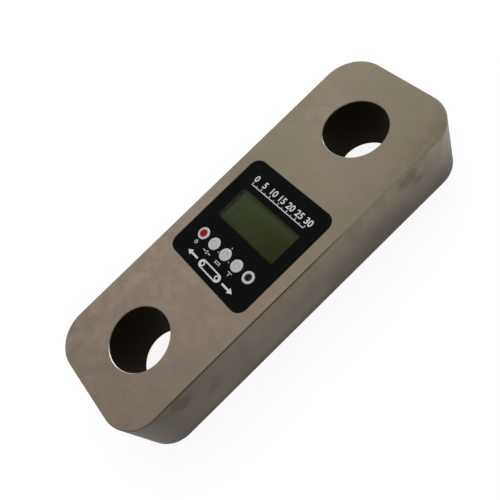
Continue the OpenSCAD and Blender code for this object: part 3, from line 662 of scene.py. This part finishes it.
for key in key_names:
    node = key + "_key_cap"
    low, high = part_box(node)
    centre = centre_of(node)
    flange_r = (high.x - low.x) / 2
    cap_r = flange_r - cap_flange_reach
    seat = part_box(key + "_key_spring")[1].z + cap_spring_gap
    shoulder = arc(cap_r - cap_rim_r, high.z - cap_rim_r, cap_rim_r, 90, 0)
    if key == "power":
        insert_low, insert_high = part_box("power_key_dot")
        hole_r = (insert_high.x - insert_low.x) / 2 + insert_gap
        crown = [(0, insert_low.z), (hole_r, insert_low.z), (hole_r, high.z)]
    else:
        crown = [(0, high.z - cap_dish_depth)]
        for i in range(cap_dish_steps + 1):
            share = i / cap_dish_steps
            radius = cap_dish_floor_r + (cap_dish_r - cap_dish_floor_r) * share
            sink = cap_dish_depth * (1 + math.cos(math.pi * share)) / 2
            crown.append((radius, high.z - sink))
    skirt = [(cap_r, seat + cap_flange_t), (flange_r, seat + cap_flange_t), (flange_r, seat),
             (cap_stem_r, seat), (cap_stem_r, low.z), (0, low.z)]
    cap = turned_piece(key + "_key_button", crown + shoulder + skirt, centre, silver,
                       key + "_key")
    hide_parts(node)

for key in key_names:
    node = key + "_key_spring"
    low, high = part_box(node)
    centre = centre_of(node)
    foot = Vector((high.x - spring_wire_r, centre.y, low.z + spring_wire_r))
    bm = bmesh.new()
    bmesh.ops.create_circle(bm, cap_ends=True, radius=spring_wire_r, segments=spring_wire_sides,
                            matrix=Matrix.Translation(foot) @ Matrix.Rotation(math.pi / 2, 4, "X"))
    rise = (high.z - low.z - 2 * spring_wire_r) / spring_steps
    bmesh.ops.spin(bm, geom=bm.verts[:] + bm.edges[:] + bm.faces[:], cent=centre, axis=(0, 0, 1),
                   dvec=(0, 0, rise), angle=2 * math.pi * spring_turns, steps=spring_steps)
    coil = mesh_piece(key + "_key_coil", bm, plated, body=None)
    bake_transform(coil)
    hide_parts(node)

low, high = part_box("power_key_dot")
insert_r = (high.x - low.x) / 2
insert_edge = high.z - insert_rim_r
outline = [(0, high.z)] + arc(insert_r - insert_rim_r, insert_edge, insert_rim_r, 90, 0)
insert = turned_piece("power_key_insert", outline + [(insert_r, low.z), (0, low.z)],
                      centre_of("power_key_dot"), red_insert, "power_key")
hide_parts("power_key_dot")


# Charging socket
# A black moulded jack with a threaded barrel through the panel, held by a turned ring nut.
# Its bore is lined by a plated contact round a pin, whose dark colour is painted shade.

ring_rim_r = 0.3 * mm
barrel_r = 3.65 * mm

# Millimetres: the bore's radius, and how far past it the lining's tone ends and is full.
lining_r, lining_end, lining_full = 2.75, 0.15, 0.05

low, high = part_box("socket_ring_nut")
ring_r = (high.x - low.x) / 2
outline = [(barrel_r, low.z), (ring_r, low.z)]
outline += arc(ring_r - ring_rim_r, high.z - ring_rim_r, ring_rim_r, 0, 90)
outline += arc(barrel_r + ring_rim_r, high.z - ring_rim_r, ring_rim_r, 90, 180)
ring_nut = turned_piece("socket_ring", outline + [(barrel_r, low.z)],
                        centre_of("socket_ring_nut"), silver)
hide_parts("socket_ring_nut")

jack, place = new_finish("jack_moulding")
x, y = place.axes()[:2]
centre = [value / mm for value in mounts["charging_socket"]["pos_m"]]
reach = ((x - centre[0]) ** 2.0 + (y - centre[1]) ** 2.0) ** 0.5
lining = reach.step(lining_r + lining_end, lining_r + lining_full)
pebble = place.grain(0.35, detail=2.0)
place.shade(
    Base_Color=lining.blend(place.grain(6).blend(*moulded_black),
                            pebble.blend(paint(88, 90, 90), paint(102, 104, 104))),
    Metallic=0.3 * lining,
    Roughness=0.46 + 0.14 * pebble,
    Normal=pebble.relief(0.01),
)
dress(jack, "socket_body")

# Painted shade: the plated pin is given a dark colour for the shade deep in the bore.
shaded_pin_metal, place = new_finish("dull_pin")
place.shade(
    Base_Color=place.grain(1.5).blend(paint(46, 47, 46), paint(58, 59, 57)),
    Metallic=0.6,
    Roughness=0.5 + 0.12 * place.grain(0.6),
)
dress(shaded_pin_metal, "socket_pin")


# Front panel
# A moulded plate under a printed polyester film with a fine black texture. A clear acrylic window
# with a flange fills the opening from behind; the near-opaque grey-green of its sides is a painted
# reflection of the display, and its chamfer is lighter as a painted highlight.

film, place = new_finish("overlay_film")
velvet = place.grain(0.22, detail=2.0)
place.shade(
    Base_Color=place.grain(30).blend(paint(9, 12, 11), paint(13, 16, 15)),
    Roughness=0.5 + 0.1 * velvet,
    Normal=velvet.relief(0.012),
    Specular_IOR_Level=0.03,
)
dress(film, "panel_overlay")

acrylic, place = new_finish("clear_acrylic")
tilt = abs(place.facing()[2])
chamfer = tilt.step(0.3, 0.5) * tilt.step(0.97, 0.9)
side_painted_reflection = tilt.step(0.3, 0.1)
# The sides' near-opaque grey-green is a painted reflection of the display, and the chamfer's
# lighter tone a painted highlight; elsewhere the lens is clear.
place.shade(
    Base_Color=side_painted_reflection.blend(chamfer.blend(paint(54, 62, 38), paint(70, 74, 62)),
                               paint(74, 77, 70)),
    Roughness=0.1 + 0.06 * place.grain(20),
    Alpha=0.16 * chamfer + 0.9 * side_painted_reflection,
    Specular_IOR_Level=0.3,
)
dress(acrylic, "window_lens")


# Print on the panel
# White ink on the film: a plain graduated row with numbers above the window, a sign for a
# link under tension below the keys, a small sign under each key and pointers round the
# third one.

ink_t = 0.03 * mm
ink_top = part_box("panel_overlay")[1].z
scale_steps = 6
scale_unit = 5
scale_w = 71 * mm
scale_y = 34.4 * mm
tick_w = 0.8 * mm
tick_h = 2.7 * mm
small_tick_h = 1.6 * mm
small_ticks = 2
number_h = 6.6 * mm
number_lift = 3.9 * mm
number_weight = 0.021
figure_share = 0.73
sign_y = -47.9 * mm
sign_link_w = 30 * mm
sign_link_h = 8.2 * mm
sign_line = 1.3 * mm
sign_eye_r = 2.1 * mm
arrow_gap = 3.6 * mm
arrow_l = 14.5 * mm
arrow_w = 1.9 * mm
arrow_head = 3.4 * mm
icon_y = -38.3 * mm
icon_h = 3.6 * mm
icon_line = 0.6 * mm
icon_head = 1.0 * mm
power_gap = 60.0
power_bar_lift, power_bar_l = 0.7, 1.2
zero_squash = 0.65
zero_arrow_reach = 1.5
unit_arrow_lift = 0.5
peak_bar_w = 1.5
pointer_r = 0.9 * mm
pointer_reach = 8.2 * mm
pointer_turns = (90, 200, 340)
hoop_steps = 40


def thicken(bm, depth):
    """Raises flat faces into solids of that depth."""
    raised = bmesh.ops.extrude_face_region(bm, geom=bm.faces[:])["geom"]
    corners = [part for part in raised if isinstance(part, bmesh.types.BMVert)]
    bmesh.ops.translate(bm, verts=corners, vec=(0, 0, depth))


def bar(bm, x, y, width, height, turn=0.0):
    """Flat rectangle round a point, turned by some degrees."""
    shape = (Matrix.Translation((x, y, ink_top)) @ Matrix.Rotation(math.radians(turn), 4, "Z")
             @ Matrix.Diagonal((width, height, 1, 1)))
    bmesh.ops.create_grid(bm, x_segments=1, y_segments=1, size=0.5, matrix=shape)


def wedge(bm, x, y, radius, turn):
    """Flat triangle round a point; its tip points right at 0 degrees."""
    shape = Matrix.Translation((x, y, ink_top)) @ Matrix.Rotation(math.radians(turn - 90), 4, "Z")
    bmesh.ops.create_circle(bm, cap_ends=True, radius=radius, segments=3, matrix=shape)


def arrow(bm, x, y, length, line, head, turn):
    """Flat arrow from a point to its tip; its shaft ends where its head begins."""
    way = Vector((math.cos(math.radians(turn)), math.sin(math.radians(turn))))
    shaft = length - 1.5 * head
    middle = Vector((x, y)) + way * shaft / 2
    bar(bm, middle.x, middle.y, shaft, line, turn)
    middle = Vector((x, y)) + way * (shaft + head / 2)
    wedge(bm, middle.x, middle.y, head, turn)


def hoop(bm, x, y, radius, line, start=0.0, end=360.0, squash=1.0):
    """Flat ring or part of one, from one angle to another, narrower where squash is less."""
    first = math.radians(start)
    spokes = [bm.verts.new((r * math.cos(first), r * math.sin(first), 0))
              for r in (radius - line / 2, radius + line / 2)]
    spoke = bm.edges.new(spokes)
    before = set(bm.verts) - set(spokes)
    bmesh.ops.spin(bm, geom=spokes + [spoke], cent=(0, 0, 0), axis=(0, 0, 1),
                   angle=math.radians(end - start), steps=hoop_steps,
                   use_merge=end - start == 360)
    shape = Matrix.Translation((x, y, ink_top)) @ Matrix.Diagonal((squash, 1, 1, 1))
    bmesh.ops.transform(bm, matrix=shape, verts=[v for v in bm.verts if v not in before])


def number(bm, value, x, y, height):
    """Flat figures of a number, centred on x and standing on y."""
    writing = bpy.data.curves.new("figures", "FONT")
    writing.body = str(value)
    writing.align_x = "CENTER"
    writing.offset = number_weight
    holder = bpy.data.objects.new("figures", writing)
    bpy.context.scene.collection.objects.link(holder)
    depsgraph = bpy.context.evaluated_depsgraph_get()
    shape = bpy.data.meshes.new_from_object(holder.evaluated_get(depsgraph))
    size = height / figure_share
    shape.transform(Matrix.Translation((x, y, ink_top)) @ Matrix.Diagonal((size, size, 1, 1)))
    bm.from_mesh(shape)
    bpy.data.objects.remove(holder)
    bpy.data.curves.remove(writing)
    bpy.data.meshes.remove(shape)


ink, place = new_finish("white_ink")
place.shade(
    Base_Color=place.grain(1.5, detail=4.0).blend(paint(206, 210, 212), paint(222, 226, 228)),
    Roughness=0.5 + 0.1 * place.grain(1),
    Specular_IOR_Level=0.2,
)

bm = bmesh.new()
pitch = scale_w / scale_steps
bar(bm, 0, scale_y, scale_w + tick_w, tick_w)
for i in range(scale_steps * small_ticks + 1):
    h = small_tick_h if i % small_ticks else tick_h
    bar(bm, -scale_w / 2 + i * pitch / small_ticks, scale_y + h / 2, tick_w, h)
for i in range(scale_steps + 1):
    number(bm, i * scale_unit, -scale_w / 2 + i * pitch, scale_y + number_lift, number_h)
thicken(bm, ink_t)
mesh_piece("scale_print", bm, ink)

bm = bmesh.new()
sign_r = (sign_link_h - sign_line) / 2
sign_straight = sign_link_w - sign_link_h
for side in (-1, 1):
    bar(bm, 0, sign_y + side * sign_r, sign_straight, sign_line)
    hoop(bm, side * sign_straight / 2, sign_y, sign_r, sign_line, -90 * side, -90 * side + 180)
    hoop(bm, side * sign_straight / 2, sign_y, sign_eye_r, sign_line)
    arrow(bm, side * (sign_link_w / 2 + arrow_gap), sign_y, arrow_l, arrow_w, arrow_head,
          90 - 90 * side)
thicken(bm, ink_t)
mesh_piece("tension_sign", bm, ink)

bm = bmesh.new()
half = icon_h / 2
icon_r = half - icon_line / 2
power, zero, unit, peak = [centre_of(key + "_key_cap") for key in key_names]
hoop(bm, power.x, icon_y, icon_r, icon_line, 90 + power_gap / 2, 450 - power_gap / 2)
bar(bm, power.x, icon_y + half * power_bar_lift, icon_line, half * power_bar_l)
hoop(bm, zero.x, icon_y, icon_r, icon_line, squash=zero_squash)
for side in (-1, 1):
    arrow(bm, zero.x + side * icon_h * zero_arrow_reach, icon_y, icon_h, icon_line, icon_head,
          90 + 90 * side)
    arrow(bm, unit.x - side * icon_h, icon_y + side * half * unit_arrow_lift, 2 * icon_h,
          icon_line, icon_head, 90 - 90 * side)
arrow(bm, peak.x, icon_y - half, icon_h - icon_line, icon_line, icon_head, 90)
bar(bm, peak.x, icon_y + half, icon_h * peak_bar_w, icon_line)
for turn in pointer_turns:
    way = math.radians(turn)
    wedge(bm, unit.x + pointer_reach * math.cos(way), unit.y + pointer_reach * math.sin(way),
          pointer_r, turn)
thicken(bm, ink_t)
mesh_piece("key_signs", bm, ink)


# Studio
# A pale floor that goes to white behind the object but keeps its shadow, one large soft
# lamp above and to the left, a low one behind, and the camera of the photograph.

floor_size = 8.0
floor_gap = 0.1 * mm
floor_white_share = 0.8
floor_glow = 1.13
air_level = 0.5
air_colour = (0.97, 0.985, 1.0, 1.0)

floor_paint, place = new_finish("studio_floor")
place.shade(
    Base_Color=place.grain(400).blend(paint(226, 226, 226), paint(230, 230, 230)),
    Roughness=0.9,
    Specular_IOR_Level=0.0,
)
seen = place.node("LightPath", out="Is Camera Ray")
for kind in ("Glossy", "Transmission"):
    seen = place.math("MAXIMUM", seen, place.node("LightPath", out="Is " + kind + " Ray"))
tree = floor_paint.node_tree
lit = Signal(tree, tree.nodes["Principled BSDF"].outputs["BSDF"])
white = place.node("Emission", values={"Strength": floor_glow})
mixed = place.node("MixShader", values={0: seen * floor_white_share, 1: lit, 2: white})
tree.links.new(mixed.socket, tree.nodes["Material Output"].inputs["Surface"])

bm = bmesh.new()
bmesh.ops.create_grid(bm, x_segments=1, y_segments=1, size=floor_size / 2,
                      matrix=Matrix.Translation((0, 0, -floor_gap)))
floor_mesh = bpy.data.meshes.new("studio_floor")
bm.to_mesh(floor_mesh)
bm.free()
floor_mesh.materials.append(floor_paint)
floor = bpy.data.objects.new("studio_floor", floor_mesh)
bpy.context.scene.collection.objects.link(floor)

scene = bpy.context.scene
world = bpy.data.worlds.new("studio_air")
scene.world = world
world.use_nodes = True
tree = world.node_tree
soft = Signal(tree, tree.nodes["Background"].outputs["Background"])
tree.nodes["Background"].inputs["Color"].default_value = air_colour
tree.nodes["Background"].inputs["Strength"].default_value = air_level
seen = soft.node("LightPath", out="Is Camera Ray")
bright = soft.node("Background", values={"Color": (1.0, 1.0, 1.0, 1.0)})
mixed = soft.node("MixShader", values={0: seen, 1: soft, 2: bright})
tree.links.new(mixed.socket, tree.nodes["World Output"].inputs["Surface"])


def soft_lamp(name, stand, aim, size, power):
    """Square lamp at its stand, turned to its aim."""
    light = bpy.data.lights.new(name, "AREA")
    light.shape = "SQUARE"
    light.size = size
    light.energy = power
    lamp = bpy.data.objects.new(name, light)
    lamp.location = stand
    lamp.rotation_euler = (Vector(stand) - Vector(aim)).to_track_quat("Z", "Y").to_euler()
    scene.collection.objects.link(lamp)


soft_lamp("overhead_lamp", stand=(-0.95, 0.45, 1.9), aim=(0, 0, 0), size=2.2, power=15)
soft_lamp("back_lamp", stand=(-0.9, 1.6, 0.5), aim=(0, 0, 0.05), size=1.2, power=8)

camera_aim = Vector((0.01433, -0.01027, 0.067))
camera_distance = 0.52001
camera_height_angle = math.radians(56.70)
camera_side_angle = math.radians(-5.217)
camera_roll = math.radians(-39.93)
camera_lens = 43.384

back = Vector((math.cos(camera_height_angle) * math.cos(camera_side_angle),
               math.cos(camera_height_angle) * math.sin(camera_side_angle),
               math.sin(camera_height_angle)))
view = bpy.data.cameras.new("camera")
view.lens = camera_lens
view.sensor_width = 36
view.clip_start = 0.01
camera = bpy.data.objects.new("camera", view)
camera.rotation_mode = "QUATERNION"
camera.rotation_quaternion = back.to_track_quat("Z", "Y") @ Quaternion((0, 0, 1), camera_roll)
camera.location = camera_aim + camera_distance * back
scene.collection.objects.link(camera)
scene.camera = camera
scene.view_settings.view_transform = "Standard"
